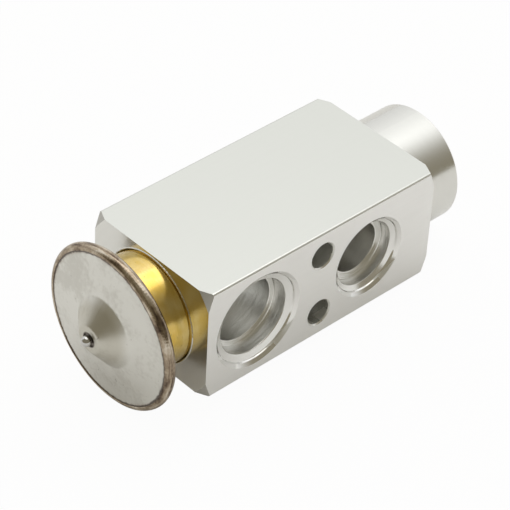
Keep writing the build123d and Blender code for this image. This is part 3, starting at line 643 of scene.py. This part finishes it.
# Rim weld. The two covers and the diaphragm are melted together all round the edge, which leaves
# a round bead with shallow ripples. The heat has left it streaked in brown, bronze and cream.
BEAD_RADIUS = 1.44 * MM
BEAD_STEPS = 1440
BEAD_SECTION = 28
BEAD_RIPPLES = 170
RIPPLE_HEIGHT = 0.008 * MM
RIPPLE_LEAN = 2.2
BEAD_WANDER = 0.05 * MM
WANDER_WAVES = ((7, 1.0), (11, 2.4))
STREAK_STRETCH = (1.6, 0.20, 0.20)
BEAD_MOTTLE_SIZE, BEAD_ROUGHNESS, BEAD_HEIGHT = 0.7, 0.15, 0.012
BEAD_TINTS = [(0.33, (0.10, 0.07, 0.055, 1)), (0.43, (0.26, 0.20, 0.145, 1)),
              (0.53, (0.46, 0.38, 0.285, 1)), (0.66, (0.72, 0.65, 0.55, 1))]
weld_low, weld_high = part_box("rim_weld")
bead_x = (weld_low.x + weld_high.x) / 2
bead_ring = weld_high.z - (weld_high.x - weld_low.x) / 2


def bead_shell():
    """Torus whose section is the outer half of a circle, closed by its chord. The section's
    radius has ripples, humps of a sine round the rim that lean back towards the bead's edges, and
    it wanders slowly with a few sines of low number."""
    across = np.linspace(-np.pi / 2, np.pi / 2, BEAD_SECTION)[:, None]
    round_rim = (np.arange(BEAD_STEPS) * 2 * np.pi / BEAD_STEPS)[None, :]
    lean = RIPPLE_LEAN * np.sin(across) ** 2
    ripples = RIPPLE_HEIGHT * (np.abs(np.sin((BEAD_RIPPLES * round_rim + lean) / 2)) - 1) * np.cos(across)
    waves = [np.sin(count * round_rim + start) - 1 for count, start in WANDER_WAVES]
    wander = BEAD_WANDER * sum(waves) / (2 * len(waves))
    section = BEAD_RADIUS + ripples + wander * np.cos(across)
    x, radius = bead_x + section * np.sin(across), bead_ring + section * np.cos(across)
    return turned_shell(x, radius, closed=True)


def bead_finish():
    """Streaks run round the rim, because the noise is short across the bead and long in y and z;
    a ramp turns them from dark brown over bronze to cream."""
    material, place = start_finish("heat_tinted_weld")
    streaks = noise(stretched(place, STREAK_STRETCH), 1.0, detail=4.0)
    mottle = noise(place, BEAD_MOTTLE_SIZE, detail=3.0)
    heat = streaks * 0.8 + mottle * 0.2
    tint = heat.node("ShaderNodeValToRGB", {"stops": BEAD_TINTS}, {0: heat})
    close_finish(streaks * 0.6 + mottle * 0.4, BEAD_HEIGHT, Base_Color=tint, Metallic=1.0,
                 Roughness=BEAD_ROUGHNESS + mottle * 0.14)
    return material


bead = add_piece("weld_bead", *bead_shell(), bead_finish(), "weld_steel")
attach(bead, "valve_body")
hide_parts("rim_weld")


# Charge ball. A polished steel ball, which closes the filling hole in the cone of the upper
# cover. It is welded in once the head is filled.
dress("charge_ball", polished_steel)


# Table, light and camera. The valve lies on a pale table, on the head's rim and the spigot's
# edge, so the table slopes a few degrees against the valve axis. A soft lamp hangs overhead in a
# room that is dim on the camera's side and bright on the other.
TABLE_SIZE = 12.0
WHITE = (1, 1, 1, 1)
TABLE_COLOUR = (0.97, 0.97, 0.97, 1)
TABLE_GLOW = {"Is Camera Ray": 0.96, "Is Glossy Ray": 0.12, "Is Transmission Ray": 0.90}
DIM_SIDE = (0.25, 0.225, 0.165, 1)
BRIGHT_HORIZON, BRIGHT_OVERHEAD = (0.82, 0.82, 0.81, 1), (1.38, 1.38, 1.36, 1)
DIM_END, BRIGHT_START = -0.21, 0.60
CAMERA_PLACE = Vector((-313.3, -293.2, 361.2)) * MM
CAMERA_TARGET = Vector((-8.64, 13.12, 4.93)) * MM
CAMERA_LENS = 173.96
CAMERA_NEAR = 0.01
LAMP_PLACE = Vector((0.12, 0.08, 1.00))
LAMP_SIZE = 1.05
LAMP_POWER = 2.4
SPIGOT_RADIUS = 14.8 * MM

slope = (-SPIGOT_RADIUS - weld_low.z) / (block_high.x - bead_x)
up = Vector((-slope, 0, 1)).normalized()
table_point = Vector((bead_x, axis_y, weld_low.z))


def table():
    """A square sheet through the rim's lowest point, square to the table's up direction."""
    side = Vector((0, 1, 0))
    along = side.cross(up)
    half = TABLE_SIZE / 2
    corners = [table_point + along * a + side * b for a, b in
               ((-half, -half), (half, -half), (half, half), (-half, half))]
    mesh = bpy.data.meshes.new("table")
    mesh.from_pydata(corners, [], [(0, 1, 2, 3)])
    sheet = bpy.data.objects.new("table", mesh)
    bpy.context.collection.objects.link(sheet)
    return sheet


def table_finish():
    """Pale paint that takes the valve's shadow. A white glow is mixed in by the kind of ray: most
    of it where the table is seen, straight or through glass, and a little of it in metal."""
    material, place = start_finish("pale_table")
    paint = place.node("ShaderNodeBsdfDiffuse", {}, {"Color": TABLE_COLOUR})
    glow = place.node("ShaderNodeEmission", {}, {"Color": WHITE, "Strength": 1.0})
    seen, glossy, through = (place.node("ShaderNodeLightPath", {}, {}, output=path) * share
                             for path, share in TABLE_GLOW.items())
    surface = place.node("ShaderNodeMixShader", {}, {0: seen + glossy + through, 1: paint, 2: glow})
    place.node("ShaderNodeOutputMaterial", {}, {"Surface": surface})
    return material


table().data.materials.append(table_finish())


def room():
    """World light: dim and warm in front and to the left, bright towards +X and +Y, where it
    grows with the square of the height. It is white where it is seen straight."""
    world = bpy.data.worlds.new("room")
    world.use_nodes = True
    world.node_tree.nodes.clear()
    direction = Wire(world.node_tree.nodes.new("ShaderNodeTexCoord").outputs["Generated"])
    x, y, z = parts(direction)
    bright_side = blend(z * z, BRIGHT_HORIZON, BRIGHT_OVERHEAD)
    sky = blend(fade(x + y, DIM_END, BRIGHT_START), DIM_SIDE, bright_side)
    light = direction.node("ShaderNodeBackground", {}, {"Color": sky, "Strength": 1.0})
    white = direction.node("ShaderNodeBackground", {}, {"Color": WHITE, "Strength": 1.0})
    seen = direction.node("ShaderNodeLightPath", {}, {}, output="Is Camera Ray")
    surface = direction.node("ShaderNodeMixShader", {}, {0: seen, 1: light, 2: white})
    direction.node("ShaderNodeOutputWorld", {}, {"Surface": surface})
    bpy.context.scene.world = world


room()


def aim(thing, place, target, upwards):
    """Turn a lamp or camera so that its -Z axis points at the target and its top stays upright."""
    forward = (target - place).normalized()
    right = forward.cross(upwards).normalized()
    top = right.cross(forward)
    turn = Matrix((right, top, -forward)).transposed()
    thing.matrix_world = Matrix.Translation(place) @ turn.to_4x4()


lamp_data = bpy.data.lights.new("soft_lamp", "AREA")
lamp_data.shape = "DISK"
lamp_data.size = LAMP_SIZE
lamp_data.energy = LAMP_POWER
lamp = bpy.data.objects.new("soft_lamp", lamp_data)
bpy.context.collection.objects.link(lamp)
aim(lamp, LAMP_PLACE, Vector((0, axis_y, 0)), Vector((0, 1, 0)))

camera_data = bpy.data.cameras.new("camera")
camera_data.lens = CAMERA_LENS
camera_data.clip_start = CAMERA_NEAR
camera = bpy.data.objects.new("camera", camera_data)
bpy.context.collection.objects.link(camera)
aim(camera, CAMERA_PLACE, CAMERA_TARGET, up)
bpy.context.scene.camera = camera
bpy.context.scene.view_settings.view_transform = "Standard"
